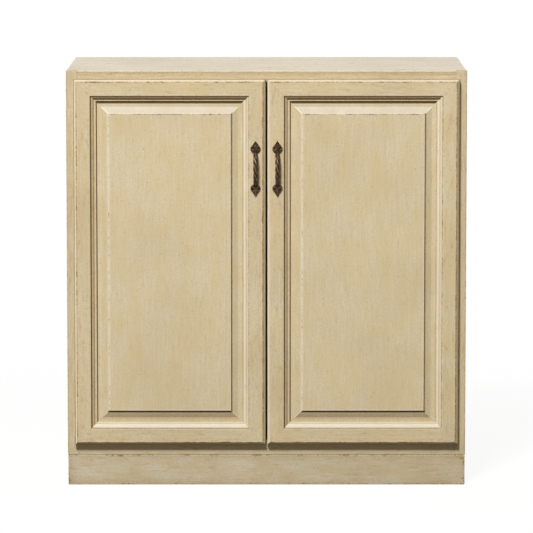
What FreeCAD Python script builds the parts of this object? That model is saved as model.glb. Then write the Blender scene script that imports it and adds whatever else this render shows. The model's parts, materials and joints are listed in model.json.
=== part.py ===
import FreeCAD, Part
import math
import os

# A two-door base cabinet: a face-frame case on a plinth, with two overlay doors. Each door is a mitred
# frame round a raised panel, hung on two concealed cup hinges whose pins stand inside the cups.
# Millimetres, +Z up. The front faces -Y, and the origin is the middle of the footprint, on the floor.

Vector = FreeCAD.Vector

# Case
cabinet_width = 914.0
cabinet_depth = 457.0  # face frame front to the back
cabinet_height = 955.0
board_thickness = 18.0
dado_depth = 6.0
back_thickness = 6.0
back_lap = 9.0  # how far the back panel laps onto the sides and the top
joint_clearance = 0.1  # left round tenons, tongues, splines and edges in their grooves
stretcher_width = 70.0

# Face frame
frame_thickness = 19.0
frame_stile_width = 25.0
frame_top_rail_width = 26.5
frame_bottom_rail_width = 34.0
tenon_length = 14.0
tenon_thickness = 7.0
tenon_shoulder = 5.0

# Plinth
plinth_height = 70.0
plinth_thickness = 19.0
plinth_recess = 1.0  # the plinth stands this far inside the case above it
glue_block_leg = 42.0
glue_block_height = 40.0

# Shelf
shelf_height = 500.0  # floor to the underside of the shelf
shelf_end_gap = 1.0
shelf_front_setback = 12.0
shelf_back_gap = 2.0
shelf_hole_spacing = 32.0
shelf_hole_rows = 7
shelf_hole_setback = 50.0  # from the face frame, and from the back panel
shelf_pin_radius = 2.5
shelf_pin_depth = 10.0
shelf_pin_reach = 9.0
shelf_pin_flat = 1.5  # pin middle to the flat that carries the shelf
shelf_collar_radius = 4.2
shelf_collar_thickness = 0.8

# Doors
door_thickness = 19.0
door_gap = 2.0  # door back to face frame
side_reveal = 17.5
top_reveal = 18.5
bottom_reveal = 26.0
meeting_gap = 4.0
door_member_width = 52.0
edge_chamfer = 6.0
hinge_edge_chamfer = 4.0  # on the back of the hinge edge, so that it swings clear of the face frame

# Moulding along the inner edge of each door member, from the flat face towards the panel
moulding_width = 14.0
quirk_depth = 1.8
ovolo_width = 7.5
ovolo_depth = 4.8
ovolo_bulge = 1.2
fillet_depth = 0.8
fillet_width = 2.0
bead_bulge = 1.1
lip_depth = 10.2  # door face to the panel groove
groove_width = 6.2
groove_depth = 10.0

# Raised panel
panel_room = 2.0  # left at the bottom of the groove for the panel to swell
panel_border = 10.5
panel_bevel_width = 16.5
panel_bevel_rise = 7.5
panel_shoulder = 1.8

# Splines inside the mitres
spline_length = 24.0
spline_width = 16.0
spline_thickness = 4.0
spline_corner_distance = 20.0
spline_depth = 11.0  # door face to the middle of the spline

# Pulls
pull_projection = 26.0
pull_drop = 203.5  # door top to the middle of the pull
pull_inset = 23.0  # meeting edge to the middle of the pull
pull_bar_radius = 5.0
pull_bar_span = 76.0
pull_bar_root_depth = 2.0  # door face to the middle of the bar's end
leaf_thickness = 5.0
leaf_width = 22.0
leaf_neck_width = 9.6
leaf_root_length = 10.0  # neck to the widest place
leaf_shoulder_length = 5.5  # widest place to the shoulder
leaf_shoulder_width = 16.4
leaf_tip_length = 18.0  # widest place to the tip
leaf_spacing = 92.0  # between the widest places of the two leaves
leaf_root_bulge = 2.2
leaf_shoulder_bulge = 0.7
pull_screw_spacing = 88.9
pull_screw_radius = 2.0
pull_screw_bite = 4.0
pull_screw_head_radius = 4.0
pull_screw_head_height = 2.2

# Hinges
hinge_end_distance = 100.0  # door end to the middle of the hinge
hinge_pin_inset = 9.0  # door edge to pin
hinge_pin_depth = 9.5  # door back to pin
hinge_pin_radius = 1.4
hinge_running_clearance = 0.05
knuckle_radius = 2.5
cup_inset = 20.5  # door edge to the middle of the cup
cup_radius = 17.5
cup_wall = 1.9
cup_depth = 13.2
cup_floor = 0.8
flange_thickness = 1.2
flange_rim = 1.5
flange_edge_trim = 3.0  # the flange ends this far outside the pin, to swing clear of the face frame
flange_wing_length = 60.0
flange_wing_width = 15.0
cup_screw_offset = 9.5  # middle of the cup to the line of its screws
cup_screw_spacing = 45.0
arm_width = 8.0
arm_thickness = 2.5
arm_front = 1.9  # pin middle to the front of the arm
arm_cup_room = 4.5  # left between the arm and the far wall of the cup
arm_setback = 5.5  # face frame front to the front of the arm where it runs behind the door
hinge_plate_thickness = 2.0
hinge_plate_height = 44.0
hinge_plate_setback = 2.0
hinge_plate_screw_spacing = 30.0

# Catches and bumpers
catch_offset = 75.0  # middle of the cabinet to the middle of a catch
catch_width = 36.0
catch_height = 14.0
catch_body_length = 42.0
catch_air_gap = 0.3
catch_screw_spacing = 22.0
catch_screw_setback = 12.0  # back of the face frame to the screws
strike_width = 28.0
strike_thickness = 1.4
bumper_radius = 3.2
bumper_air_gap = 0.3
bumper_inset = 14.0  # meeting edge to the middle of a bumper

# Wood screws
screw_radius = 1.7
screw_head_radius = 3.3
screw_head_height = 1.6
screw_clearance = 0.05
short_screw_length = 12.0
long_screw_length = 18.0
block_screw_bite = 12.0
back_screw_side_count = 4
back_screw_end_count = 3
back_screw_end_margin = 60.0

# Places that follow from the sizes
half_width = cabinet_width / 2
overall_depth = pull_projection + door_thickness + door_gap + cabinet_depth
back_y = overall_depth / 2
face_y = back_y - cabinet_depth
frame_back_y = face_y + frame_thickness
inner_back_y = back_y - back_thickness
side_inner_x = -half_width + board_thickness
top_underside = cabinet_height - board_thickness
floor_top = plinth_height + frame_bottom_rail_width
floor_underside = floor_top - board_thickness
stretcher_underside = top_underside - board_thickness
opening_top = cabinet_height - frame_top_rail_width
stile_inner_x = -half_width + frame_stile_width

door_left = -half_width + side_reveal
door_right = -meeting_gap / 2
door_width = door_right - door_left
door_bottom = plinth_height + bottom_reveal
door_top = cabinet_height - top_reveal
door_height = door_top - door_bottom
door_back_y = face_y - door_gap
door_front_y = door_back_y - door_thickness

pull_x = door_right - pull_inset
pull_z = door_top - pull_drop
hinge_x = door_left + hinge_pin_inset
hinge_y = door_back_y - hinge_pin_depth
hinge_heights = (door_bottom + hinge_end_distance, door_top - hinge_end_distance)
cup_x = door_left + cup_inset
cup_inner_radius = cup_radius - cup_wall
cup_screw_x = cup_x + cup_screw_offset
shelf_hole_y = (frame_back_y + shelf_hole_setback, inner_back_y - shelf_hole_setback)
shelf_pin_z = shelf_height - shelf_pin_flat
catch_x = -catch_offset
catch_front_y = door_back_y + strike_thickness + catch_air_gap
catch_screw_y = frame_back_y + catch_screw_setback
strike_z = stretcher_underside - catch_height / 2


def block(x0, x1, y0, y1, z0, z1):
    """A box between two corners."""
    return Part.makeBox(x1 - x0, y1 - y0, z1 - z0, Vector(x0, y0, z0))


def rod(radius, start, end):
    """A round bar from start to end."""
    axis = end - start
    return Part.makeCylinder(radius, axis.Length, start, axis)


def prism(points, direction):
    """A polygon pushed along direction."""
    outline = Part.makePolygon(points + points[:1])
    return Part.Face(outline).extrude(direction)


def arc(start, end, bulge):
    """An arc in the XY plane that stands bulge off its chord, to the right of the way to its end."""
    along = end - start
    along.normalize()
    middle = (start + end) * 0.5 + Vector(along.y, -along.x, 0) * bulge
    return Part.Arc(start, middle, end).toShape()


def line(start, end):
    return Part.LineSegment(start, end).toShape()


def mirrored(shape):
    """The same piece on the other side of the cabinet."""
    return shape.mirror(Vector(0, 0, 0), Vector(1, 0, 0))


def both_sides(shapes):
    return shapes + [mirrored(shape) for shape in shapes]


def wood_screw(seat, direction, length, clearance=0.0):
    """A countersunk screw, or with a clearance, its hole: seat is the middle of the head's flat."""
    neck = seat + direction * screw_head_height
    end = seat + direction * (length + clearance)
    shank_radius = screw_radius + clearance
    head = Part.makeCone(screw_head_radius + clearance, shank_radius, screw_head_height, seat, direction)
    return head.fuse(rod(shank_radius, neck, end)).removeSplitter()


def evenly(start, end, count):
    """count places from start to end."""
    step = (end - start) / (count - 1)
    return [start + step * i for i in range(count)]


# Where each kind of screw sits, on the left side: its seat, its direction and its length

into_front = Vector(0, -1, 0)
into_left = Vector(-1, 0, 0)
upwards = Vector(0, 0, 1)


def hinge_plate_screws():
    y = face_y + frame_thickness / 2
    x = stile_inner_x + hinge_plate_thickness
    offsets = (-hinge_plate_screw_spacing / 2, hinge_plate_screw_spacing / 2)
    return [(Vector(x, y, z + dz), into_left, long_screw_length) for z in hinge_heights for dz in offsets]


def cup_screws():
    y = door_back_y + flange_thickness
    offsets = (-cup_screw_spacing / 2, cup_screw_spacing / 2)
    seats = [Vector(cup_screw_x, y, z + dz) for z in hinge_heights for dz in offsets]
    return [(seat, into_front, short_screw_length) for seat in seats]


def strike_screws():
    return [(Vector(catch_x, door_back_y + strike_thickness, strike_z), into_front, short_screw_length)]


def catch_screws():
    z = stretcher_underside - catch_height
    offsets = (-catch_screw_spacing / 2, catch_screw_spacing / 2)
    length = catch_height + short_screw_length
    return [(Vector(catch_x + dx, catch_screw_y, z), upwards, length) for dx in offsets]


def glue_block_screws():
    """One screw up through the middle of each glue block."""
    z = floor_underside - glue_block_height
    length = glue_block_height + block_screw_bite
    return [(Vector(x, y, z), upwards, length) for x, y in glue_block_middles()]


def back_screws():
    """Screws through the back panel into the left side."""
    x = side_inner_x - back_lap / 2
    lowest = floor_top + back_screw_end_margin
    highest = top_underside - back_screw_end_margin
    heights = evenly(lowest, highest, back_screw_side_count)
    return [(Vector(x, back_y, z), into_front, long_screw_length) for z in heights]


def back_end_screws():
    """Screws through the back panel into the bottom and the top."""
    reach = -side_inner_x - back_screw_end_margin
    places = evenly(-reach, reach, back_screw_end_count)
    heights = (floor_top - board_thickness / 2, top_underside + back_lap / 2)
    return [(Vector(x, back_y, z), into_front, long_screw_length) for z in heights for x in places]


def with_mirror_places(places):
    """The places of screws on the left, and the same places on the right."""
    right = [(Vector(-seat.x, seat.y, seat.z), way, length) for seat, way, length in places]
    return places + right


def screws(places):
    return [wood_screw(*place) for place in places]


def drilled(shape, places):
    """The shape with the holes that screws at these places need."""
    return shape.cut([wood_screw(*place, screw_clearance) for place in places])


# Case

def glue_block_corners():
    """The inner corners of the plinth on the left side, with the way each block runs from there."""
    x = -half_width + plinth_recess + plinth_thickness
    front = face_y + plinth_recess + plinth_thickness
    back = back_y - plinth_recess - plinth_thickness
    return [(x, front, 1), (x, back, -1)]


def glue_block_middles():
    third = glue_block_leg / 3
    return [(x + third, y + way * third) for x, y, way in glue_block_corners()]


def glue_blocks():
    made = []
    for x, y, way in glue_block_corners():
        z = floor_underside - glue_block_height
        corner = Vector(x, y, z)
        along_side = corner + Vector(0, way * glue_block_leg, 0)
        along_board = corner + Vector(glue_block_leg, 0, 0)
        made.append(prism([corner, along_board, along_side], Vector(0, 0, glue_block_height)))
    return [drilled(shape, [place]) for shape, place in zip(made, glue_block_screws())]


def plinth_board_front():
    y = face_y + plinth_recess
    reach = half_width - plinth_recess
    return block(-reach, reach, y, y + plinth_thickness, 0, plinth_height)


def plinth_board_back():
    y = back_y - plinth_recess
    reach = half_width - plinth_recess
    return block(-reach, reach, y - plinth_thickness, y, 0, plinth_height)


def plinth_board_side():
    x = -half_width + plinth_recess
    front = face_y + plinth_recess + plinth_thickness
    back = back_y - plinth_recess - plinth_thickness
    return block(x, x + plinth_thickness, front, back, 0, plinth_height)


def side_panel():
    panel = block(-half_width, side_inner_x, frame_back_y, back_y, plinth_height, top_underside)
    rabbet = block(side_inner_x - back_lap, side_inner_x, inner_back_y, back_y, plinth_height, top_underside)
    dado = block(
        side_inner_x - dado_depth,
        side_inner_x,
        frame_back_y,
        inner_back_y,
        floor_underside - joint_clearance,
        floor_top + joint_clearance,
    )
    holes = []
    for row in range(shelf_hole_rows):
        z = shelf_pin_z + (row - shelf_hole_rows // 2) * shelf_hole_spacing
        for y in shelf_hole_y:
            mouth = Vector(side_inner_x, y, z)
            depth = shelf_pin_depth + joint_clearance
            holes.append(rod(shelf_pin_radius + joint_clearance, mouth, mouth - Vector(depth, 0, 0)))
    return drilled(panel.cut([rabbet, dado] + holes), back_screws())


def top_panel():
    panel = block(-half_width, half_width, frame_back_y, back_y, top_underside, cabinet_height)
    reach = half_width - board_thickness + back_lap
    rabbet = block(-reach, reach, inner_back_y, back_y, top_underside, top_underside + back_lap)
    return drilled(panel.cut(rabbet), back_end_screws())


def bottom_panel():
    reach = half_width - board_thickness + dado_depth - joint_clearance
    panel = block(-reach, reach, frame_back_y, inner_back_y, floor_underside, floor_top)
    return drilled(panel, back_end_screws() + with_mirror_places(glue_block_screws()))


def back_panel():
    reach = half_width - board_thickness + back_lap - joint_clearance
    top = top_underside + back_lap - joint_clearance
    panel = block(-reach, reach, inner_back_y, back_y, plinth_height, top)
    return drilled(panel, with_mirror_places(back_screws()) + back_end_screws())


def front_stretcher():
    reach = half_width - board_thickness
    back = frame_back_y + stretcher_width
    stretcher = block(-reach, reach, frame_back_y, back, stretcher_underside, top_underside)
    return drilled(stretcher, with_mirror_places(catch_screws()))


def rear_stretcher():
    reach = half_width - board_thickness
    front = inner_back_y - board_thickness
    return block(-reach, reach, front, inner_back_y, top_underside - stretcher_width, top_underside)


# Face frame

def tenon_block(z0, z1, clearance):
    """The tongue between the stiles at a rail from z0 to z1, from one mortise's bottom to the other's."""
    y = face_y + frame_thickness / 2
    reach = half_width - frame_stile_width + tenon_length + clearance
    half = tenon_thickness / 2 + clearance
    low = z0 + tenon_shoulder - clearance
    high = z1 - tenon_shoulder + clearance
    return block(-reach, reach, y - half, y + half, low, high)


def frame_rail(z0, z1):
    reach = half_width - frame_stile_width
    rail = block(-reach, reach, face_y, frame_back_y, z0, z1)
    return rail.fuse(tenon_block(z0, z1, 0)).removeSplitter()


def frame_stile():
    stile = block(-half_width, stile_inner_x, face_y, frame_back_y, plinth_height, cabinet_height)
    mortises = [
        tenon_block(plinth_height, floor_top, joint_clearance),
        tenon_block(opening_top, cabinet_height, joint_clearance),
    ]
    return drilled(stile.cut(mortises), hinge_plate_screws())


# Shelf

def shelf_board():
    reach = half_width - board_thickness - shelf_end_gap
    front = frame_back_y + shelf_front_setback
    back = inner_back_y - shelf_back_gap
    return block(-reach, reach, front, back, shelf_height, shelf_height + board_thickness)


def shelf_pins():
    made = []
    for y in shelf_hole_y:
        face = Vector(side_inner_x, y, shelf_pin_z)
        inner_end = face - Vector(shelf_pin_depth, 0, 0)
        peg = rod(shelf_pin_radius, inner_end, face + Vector(shelf_pin_reach, 0, 0))
        collar = rod(shelf_collar_radius, face, face + Vector(shelf_collar_thickness, 0, 0))
        pin = peg.fuse(collar).removeSplitter()
        above = block(
            side_inner_x,
            side_inner_x + shelf_pin_reach,
            y - shelf_collar_radius,
            y + shelf_collar_radius,
            shelf_height,
            shelf_height + shelf_collar_radius,
        )
        made.append(pin.cut(above))
    return both_sides(made)


# Door frame and panel

def member_section():
    """The section of a door member: X runs inwards from its outer edge, and Y is the cabinet's own."""
    face_end = door_member_width - moulding_width
    ovolo_end = Vector(face_end + ovolo_width, door_front_y + quirk_depth + ovolo_depth, 0)
    fillet_start = ovolo_end + Vector(0, fillet_depth, 0)
    fillet_end = fillet_start + Vector(fillet_width, 0, 0)
    lip = Vector(door_member_width, door_front_y + lip_depth, 0)
    groove_front = lip - Vector(groove_depth, 0, 0)
    groove_back = groove_front + Vector(0, groove_width, 0)
    back_lip = lip + Vector(0, groove_width, 0)
    back_inner = Vector(door_member_width, door_back_y, 0)
    back_outer = Vector(0, door_back_y, 0)
    chamfer_back = Vector(0, door_front_y + edge_chamfer, 0)
    chamfer_front = Vector(edge_chamfer, door_front_y, 0)
    quirk_top = Vector(face_end, door_front_y, 0)
    quirk_bottom = Vector(face_end, door_front_y + quirk_depth, 0)
    edges = [
        line(chamfer_back, chamfer_front),
        line(chamfer_front, quirk_top),
        line(quirk_top, quirk_bottom),
        arc(quirk_bottom, ovolo_end, ovolo_bulge),
        line(ovolo_end, fillet_start),
        line(fillet_start, fillet_end),
        arc(fillet_end, lip, bead_bulge),
        line(lip, groove_front),
        line(groove_front, groove_back),
        line(groove_back, back_lip),
        line(back_lip, back_inner),
        line(back_inner, back_outer),
        line(back_outer, chamfer_back),
    ]
    return Part.Face(Part.Wire(edges))


def mitred_member(length):
    """A door member of this length along Z, its outer edge at X 0, mitred at both ends."""
    bar = member_section().extrude(Vector(0, 0, length))
    inner = door_member_width
    corners = [(0, 0), (inner, inner), (inner, length - inner), (0, length)]
    points = [Vector(x, door_front_y, z) for x, z in corners]
    return bar.common(prism(points, Vector(0, door_thickness, 0)))


def corner_splines(clearance):
    """The loose splines of the four mitres, or with a clearance, the slots that take them."""
    made = []
    half_length = spline_length / 2 + clearance
    half_spline = spline_width / 2 + clearance
    half_thickness = spline_thickness / 2 + clearance
    middle_y = door_front_y + spline_depth
    for x, x_way in ((door_left, 1), (door_right, -1)):
        for z, z_way in ((door_bottom, 1), (door_top, -1)):
            low = Vector(-half_length, -half_thickness, -half_spline)
            spline = Part.makeBox(2 * half_length, 2 * half_thickness, 2 * half_spline, low)
            spline.rotate(Vector(0, 0, 0), Vector(0, 1, 0), -45 * x_way * z_way)
            middle_x = x + x_way * spline_corner_distance
            middle_z = z + z_way * spline_corner_distance
            spline.translate(Vector(middle_x, middle_y, middle_z))
            made.append(spline)
    return made


def hinge_edge_cut():
    """The wedge taken off the back of the hinge edge."""
    x = door_left
    y = door_back_y
    z = door_bottom
    points = [Vector(x, y, z), Vector(x + hinge_edge_chamfer, y, z), Vector(x, y - hinge_edge_chamfer, z)]
    return prism(points, Vector(0, 0, door_height))


def hinge_stile():
    stile = mitred_member(door_height)
    stile.translate(Vector(door_left, 0, door_bottom))
    bores = []
    for z in hinge_heights:
        mouth = Vector(cup_x, door_back_y, z)
        depth = cup_depth + joint_clearance
        bores.append(rod(cup_radius + joint_clearance, mouth, mouth - Vector(0, depth, 0)))
    stile = stile.cut(corner_splines(joint_clearance) + [hinge_edge_cut()] + bores)
    return drilled(stile, cup_screws())


def pull_screw_heights():
    return (pull_z - pull_screw_spacing / 2, pull_z + pull_screw_spacing / 2)


def meeting_stile():
    stile = mitred_member(door_height)
    stile = stile.mirror(Vector(0, 0, 0), Vector(1, 0, 0))
    stile.translate(Vector(door_right, 0, door_bottom))
    holes = []
    for z in pull_screw_heights():
        back = Vector(pull_x, door_back_y, z)
        holes.append(rod(pull_screw_radius + screw_clearance, back, back - Vector(0, door_thickness, 0)))
    return stile.cut(corner_splines(joint_clearance) + holes)


def top_rail():
    rail = mitred_member(door_width)
    rail.rotate(Vector(0, 0, 0), Vector(0, 1, 0), 90)
    rail.translate(Vector(door_left, 0, door_top))
    rail = rail.cut(corner_splines(joint_clearance) + [hinge_edge_cut()])
    return drilled(rail, strike_screws())


def bottom_rail():
    rail = mitred_member(door_width)
    rail.rotate(Vector(0, 0, 0), Vector(0, 1, 0), 90)
    rail = rail.mirror(Vector(0, 0, 0), Vector(0, 0, 1))
    rail.translate(Vector(door_left, 0, door_bottom))
    return rail.cut(corner_splines(joint_clearance) + [hinge_edge_cut()])


def panel_outline(inset, y):
    """A rectangle this far inside the door's edges, on the plane y."""
    x0 = door_left + inset
    x1 = door_right - inset
    z0 = door_bottom + inset
    z1 = door_top - inset
    corners = [Vector(x0, y, z0), Vector(x1, y, z0), Vector(x1, y, z1), Vector(x0, y, z1)]
    return Part.makePolygon(corners + corners[:1])


def raised_panel():
    tongue_front = door_front_y + lip_depth + joint_clearance
    tongue_thickness = groove_width - 2 * joint_clearance
    tongue_edge = door_member_width - groove_depth + panel_room
    bevel_edge = door_member_width + panel_border
    field_edge = bevel_edge + panel_bevel_width
    bevel_top = tongue_front - panel_bevel_rise
    slab = Part.Face(panel_outline(tongue_edge, tongue_front)).extrude(Vector(0, tongue_thickness, 0))
    bevel_foot = panel_outline(bevel_edge, tongue_front)
    field_outline = panel_outline(field_edge, bevel_top)
    bevel = Part.makeLoft([bevel_foot, field_outline], True, True)
    field = Part.Face(field_outline).extrude(Vector(0, -panel_shoulder, 0))
    return slab.fuse([bevel, field]).removeSplitter()


# Door hardware

def leaf_outline():
    """The upper leaf of a pull, flat in the XY plane: Y runs up the pull from its middle."""
    widest = leaf_spacing / 2
    neck = Vector(leaf_neck_width / 2, widest - leaf_root_length, 0)
    side = Vector(leaf_width / 2, widest, 0)
    shoulder = Vector(leaf_shoulder_width / 2, widest + leaf_shoulder_length, 0)
    tip = Vector(0, widest + leaf_tip_length, 0)
    across = [Vector(-point.x, point.y, 0) for point in (neck, side, shoulder)]
    edges = [
        arc(neck, side, leaf_root_bulge),
        arc(side, shoulder, leaf_shoulder_bulge),
        line(shoulder, tip),
        line(tip, across[2]),
        arc(across[2], across[1], leaf_shoulder_bulge),
        arc(across[1], across[0], leaf_root_bulge),
        line(across[0], neck),
    ]
    return Part.Face(Part.Wire(edges))


def pull():
    """A bowed bar between two leaves that lie on the door, cast in one piece."""
    middle = Vector(pull_x, door_front_y, pull_z)
    leaf = leaf_outline().extrude(Vector(0, 0, leaf_thickness))
    leaf.rotate(Vector(0, 0, 0), Vector(1, 0, 0), 90)
    lower_leaf = leaf.mirror(Vector(0, 0, 0), Vector(0, 0, 1))
    rise = pull_projection - pull_bar_radius - pull_bar_root_depth
    half_span = pull_bar_span / 2
    bow_radius = (half_span**2 + rise**2) / (2 * rise)
    half_turn = math.degrees(math.asin(half_span / bow_radius))
    bow_middle = Vector(0, bow_radius - rise - pull_bar_root_depth, 0)
    bar_middle = bow_middle - Vector(0, bow_radius, 0)
    section = Part.Face(Part.Wire(Part.makeCircle(pull_bar_radius, bar_middle, Vector(0, 0, 1))))
    section.rotate(bow_middle, Vector(1, 0, 0), -half_turn)
    bar = section.revolve(bow_middle, Vector(1, 0, 0), 2 * half_turn)
    room = pull_bar_span
    behind_door_face = block(-room, room, 0, room, -room, room)
    casting = leaf.fuse([lower_leaf, bar]).cut(behind_door_face).removeSplitter()
    casting.translate(middle)
    holes = []
    for z in pull_screw_heights():
        seat = Vector(pull_x, door_front_y, z)
        depth = pull_screw_bite + screw_clearance
        holes.append(rod(pull_screw_radius + screw_clearance, seat, seat - Vector(0, depth, 0)))
    return casting.cut(holes)


def pull_screws():
    made = []
    for z in pull_screw_heights():
        back = Vector(pull_x, door_back_y, z)
        shank = rod(pull_screw_radius, back, back - Vector(0, door_thickness + pull_screw_bite, 0))
        head = rod(pull_screw_head_radius, back, back + Vector(0, pull_screw_head_height, 0))
        made.append(head.fuse(shank).removeSplitter())
    return made


def hinge_cups():
    made = []
    for z in hinge_heights:
        mouth = Vector(cup_x, door_back_y, z)
        outside = Vector(0, flange_thickness, 0)
        shell = rod(cup_radius, mouth + outside, mouth - Vector(0, cup_depth, 0))
        rim = rod(cup_radius + flange_rim, mouth, mouth + outside)
        wings = block(
            cup_screw_x - flange_wing_width / 2,
            cup_screw_x + flange_wing_width / 2,
            door_back_y,
            door_back_y + flange_thickness,
            z - flange_wing_length / 2,
            z + flange_wing_length / 2,
        )
        hollow = rod(cup_inner_radius, mouth + outside, mouth - Vector(0, cup_depth - cup_floor, 0))
        trim = block(
            cup_x - 2 * cup_radius,
            hinge_x - flange_edge_trim,
            door_back_y,
            door_back_y + flange_thickness,
            z - 2 * cup_radius,
            z + 2 * cup_radius,
        )
        pin_hole = hinge_pin(z, joint_clearance / 2)
        cup = shell.fuse([rim, wings]).cut([hollow, trim, pin_hole]).removeSplitter()
        made.append(drilled(cup, cup_screws()))
    return made


def hinge_pin(z, clearance):
    """A pin across the cup, its ends set in the cup's wall and just inside it."""
    far_side = cup_inset - hinge_pin_inset + hinge_pin_radius
    half_length = math.sqrt(cup_radius**2 - far_side**2)
    end = Vector(0, 0, half_length + clearance)
    middle = Vector(hinge_x, hinge_y, z)
    return rod(hinge_pin_radius + clearance, middle - end, middle + end)


def hinge_pins():
    return [hinge_pin(z, 0) for z in hinge_heights]


def hinge_arms():
    """Each arm leaves the cup at its far side, and comes back round the door's edge to a plate on the stile."""
    made = []
    reach = cup_x + cup_inner_radius - arm_cup_room
    front = hinge_y - arm_front
    run_front = face_y + arm_setback
    run_back = run_front + arm_thickness
    plate_x = stile_inner_x + hinge_plate_thickness
    outline = [
        (hinge_x, front),
        (reach, front),
        (reach, run_back),
        (plate_x, run_back),
        (plate_x, run_front),
        (reach - arm_thickness, run_front),
        (reach - arm_thickness, front + arm_thickness),
        (hinge_x, front + arm_thickness),
    ]
    for z in hinge_heights:
        low = z - arm_width / 2
        across = Vector(0, 0, arm_width)
        strap = prism([Vector(x, y, low) for x, y in outline], across)
        pin_low = Vector(hinge_x, hinge_y, low)
        knuckle = rod(knuckle_radius, pin_low, pin_low + across)
        plate = block(
            stile_inner_x,
            plate_x,
            face_y + hinge_plate_setback,
            frame_back_y - hinge_plate_setback,
            z - hinge_plate_height / 2,
            z + hinge_plate_height / 2,
        )
        bore = hinge_pin(z, hinge_running_clearance)
        arm = strap.fuse([knuckle, plate]).cut(bore).removeSplitter()
        made.append(drilled(arm, hinge_plate_screws()))
    return made


def magnetic_catch():
    body = block(
        catch_x - catch_width / 2,
        catch_x + catch_width / 2,
        catch_front_y,
        catch_front_y + catch_body_length,
        stretcher_underside - catch_height,
        stretcher_underside,
    )
    return drilled(body, catch_screws())


def strike_plate():
    plate = block(
        catch_x - strike_width / 2,
        catch_x + strike_width / 2,
        door_back_y,
        door_back_y + strike_thickness,
        strike_z - catch_height / 2,
        strike_z + catch_height / 2,
    )
    return drilled(plate, strike_screws())


def bumpers():
    """Soft pads that stop the door against the rails of the face frame."""
    heights = ((door_bottom + floor_top) / 2, (door_top + opening_top) / 2)
    thickness = door_gap - bumper_air_gap
    made = []
    for z in heights:
        back = Vector(door_right - bumper_inset, door_back_y, z)
        made.append(rod(bumper_radius, back, back + Vector(0, thickness, 0)))
    return made


def case_pieces():
    left_side = side_panel()
    left_stile = frame_stile()
    left_plinth = plinth_board_side()
    left_arms = hinge_arms()
    left_arm_screws = screws(hinge_plate_screws())
    return {
        "top_panel": [top_panel()],
        "left_side_panel": [left_side],
        "right_side_panel": [mirrored(left_side)],
        "bottom_panel": [bottom_panel()],
        "back_panel": [back_panel()],
        "back_panel_screws": both_sides(screws(back_screws())) + screws(back_end_screws()),
        "front_stretcher": [front_stretcher()],
        "rear_stretcher": [rear_stretcher()],
        "frame_left_stile": [left_stile],
        "frame_right_stile": [mirrored(left_stile)],
        "frame_top_rail": [frame_rail(opening_top, cabinet_height)],
        "frame_bottom_rail": [frame_rail(plinth_height, floor_top)],
        "plinth_front": [plinth_board_front()],
        "plinth_back": [plinth_board_back()],
        "plinth_left": [left_plinth],
        "plinth_right": [mirrored(left_plinth)],
        "plinth_glue_blocks": both_sides(glue_blocks()),
        "plinth_block_screws": both_sides(screws(glue_block_screws())),
        "shelf": [shelf_board()],
        "shelf_pins": shelf_pins(),
        "magnetic_catches": both_sides([magnetic_catch()]),
        "catch_screws": both_sides(screws(catch_screws())),
        "left_hinge_arms": left_arms,
        "right_hinge_arms": [mirrored(arm) for arm in left_arms],
        "left_hinge_arm_screws": left_arm_screws,
        "right_hinge_arm_screws": [mirrored(screw) for screw in left_arm_screws],
    }


def door_pieces():
    """The pieces of the left door."""
    return {
        "hinge_stile": [hinge_stile()],
        "meeting_stile": [meeting_stile()],
        "top_rail": [top_rail()],
        "bottom_rail": [bottom_rail()],
        "raised_panel": [raised_panel()],
        "corner_splines": corner_splines(0),
        "pull": [pull()],
        "pull_screws": pull_screws(),
        "hinge_cups": hinge_cups(),
        "hinge_pins": hinge_pins(),
        "cup_screws": screws(cup_screws()),
        "strike_plate": [strike_plate()],
        "strike_screw": screws(strike_screws()),
        "bumpers": bumpers(),
    }


pieces = case_pieces()
for name, solids in door_pieces().items():
    pieces["left_door_" + name] = solids
    pieces["right_door_" + name] = [mirrored(solid) for solid in solids]

os.makedirs("parts", exist_ok=True)
for name, solids in pieces.items():
    Part.makeCompound(solids).exportStep("parts/" + name + ".step")
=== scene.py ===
import json
import math

import bmesh
import bpy
from mathutils import Matrix, Vector


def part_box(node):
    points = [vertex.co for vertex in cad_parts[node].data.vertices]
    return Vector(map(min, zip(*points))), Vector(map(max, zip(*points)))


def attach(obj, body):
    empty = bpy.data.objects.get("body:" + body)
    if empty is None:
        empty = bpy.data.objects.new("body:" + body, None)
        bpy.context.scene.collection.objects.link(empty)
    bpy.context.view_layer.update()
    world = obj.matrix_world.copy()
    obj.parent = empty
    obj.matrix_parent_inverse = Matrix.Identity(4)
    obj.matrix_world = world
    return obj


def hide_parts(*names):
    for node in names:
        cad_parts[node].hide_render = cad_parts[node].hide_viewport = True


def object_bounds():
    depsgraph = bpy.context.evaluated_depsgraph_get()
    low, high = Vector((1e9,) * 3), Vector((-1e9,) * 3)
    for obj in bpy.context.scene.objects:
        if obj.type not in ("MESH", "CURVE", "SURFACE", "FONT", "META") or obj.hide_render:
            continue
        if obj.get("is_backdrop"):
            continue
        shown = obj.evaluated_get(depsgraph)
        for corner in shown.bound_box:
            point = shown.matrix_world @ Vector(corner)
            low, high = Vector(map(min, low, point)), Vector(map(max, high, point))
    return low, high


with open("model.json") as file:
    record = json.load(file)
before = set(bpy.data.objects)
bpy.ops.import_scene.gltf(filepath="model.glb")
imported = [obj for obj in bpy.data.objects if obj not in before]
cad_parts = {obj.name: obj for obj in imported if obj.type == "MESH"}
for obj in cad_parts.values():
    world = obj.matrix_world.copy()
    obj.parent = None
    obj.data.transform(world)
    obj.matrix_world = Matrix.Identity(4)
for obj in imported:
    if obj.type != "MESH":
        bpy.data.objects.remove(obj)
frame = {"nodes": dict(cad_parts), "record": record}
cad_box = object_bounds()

# A two-door base cabinet in cream paint, glazed with umber and rubbed back, with twisted bronze pulls.
# Metres, +Z up, and the doors face -Y.

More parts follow.
